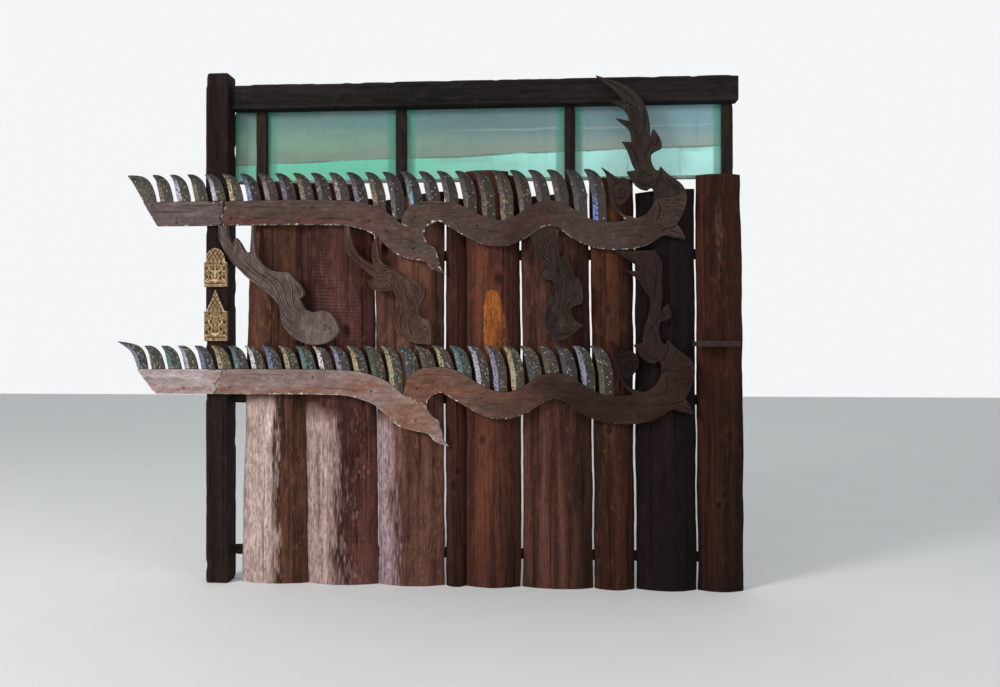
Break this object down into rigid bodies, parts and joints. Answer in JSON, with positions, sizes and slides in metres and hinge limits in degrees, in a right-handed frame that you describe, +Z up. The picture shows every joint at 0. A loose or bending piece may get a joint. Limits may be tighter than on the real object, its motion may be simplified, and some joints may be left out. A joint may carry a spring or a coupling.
{
  "type": "timber wall bay with carved naga bargeboards",
  "caption": "Wall bay of a Thai timber pavilion: upright log slabs on a post and stud frame, green clerestory panes and old naga bargeboards, eave brackets and gilded plaques on its front.",
  "frame": {"origin": "centre of the corner post's foot, on the ground", "axes": "+X along the wall to the right, +Z up, the carved face looks to -Y"},
  "size_m": [4.0269, 0.288, 3.3],
  "materials": {
    "weathered_frame": "matte",
    "slab_wood": "satin",
    "carved_board": "matte",
    "grey_bracket": "matte",
    "dark_bracket": "matte",
    "gilding": "worn gold leaf",
    "mosaic_fin": "mirror glass chips on lacquer",
    "window_glass": "clear green tint"
  },
  "bodies": {
    "root": {"corner_post": "weathered_frame", "stud_1": "weathered_frame", "stud_2": "weathered_frame", "stud_3": "weathered_frame", "stud_4": "weathered_frame", "head_beam": "weathered_frame", "rail_low": "weathered_frame", "rail_middle": "weathered_frame", "rail_high": "weathered_frame", "slab_1": "slab_wood", "slab_2": "slab_wood", "slab_3": "slab_wood", "slab_4": "slab_wood", "slab_5": "slab_wood", "slab_6": "slab_wood", "slab_7": "slab_wood", "slab_8": "slab_wood", "slab_9": "slab_wood", "pane_1": "window_glass", "pane_2": "window_glass", "pane_3": "window_glass", "pane_4": "window_glass", "glazing_bar_1": "weathered_frame", "glazing_bar_2": "weathered_frame", "glazing_bar_3": "weathered_frame", "glazing_bar_4": "weathered_frame", "upper_end_block": "carved_board", "upper_tail_board": "carved_board", "upper_naga": "carved_board", "upper_horn": "carved_board", "upper_fins": "mosaic_fin", "lower_end_block": "carved_board", "lower_tail_board": "carved_board", "lower_naga": "carved_board", "lower_horn": "carved_board", "lower_fins": "mosaic_fin", "bracket_1": "grey_bracket", "bracket_2": "dark_bracket", "bracket_3": "dark_bracket", "plaque_high": "gilding", "plaque_low": "gilding", "small_shelf": "weathered_frame"}
  },
  "joints": []
}
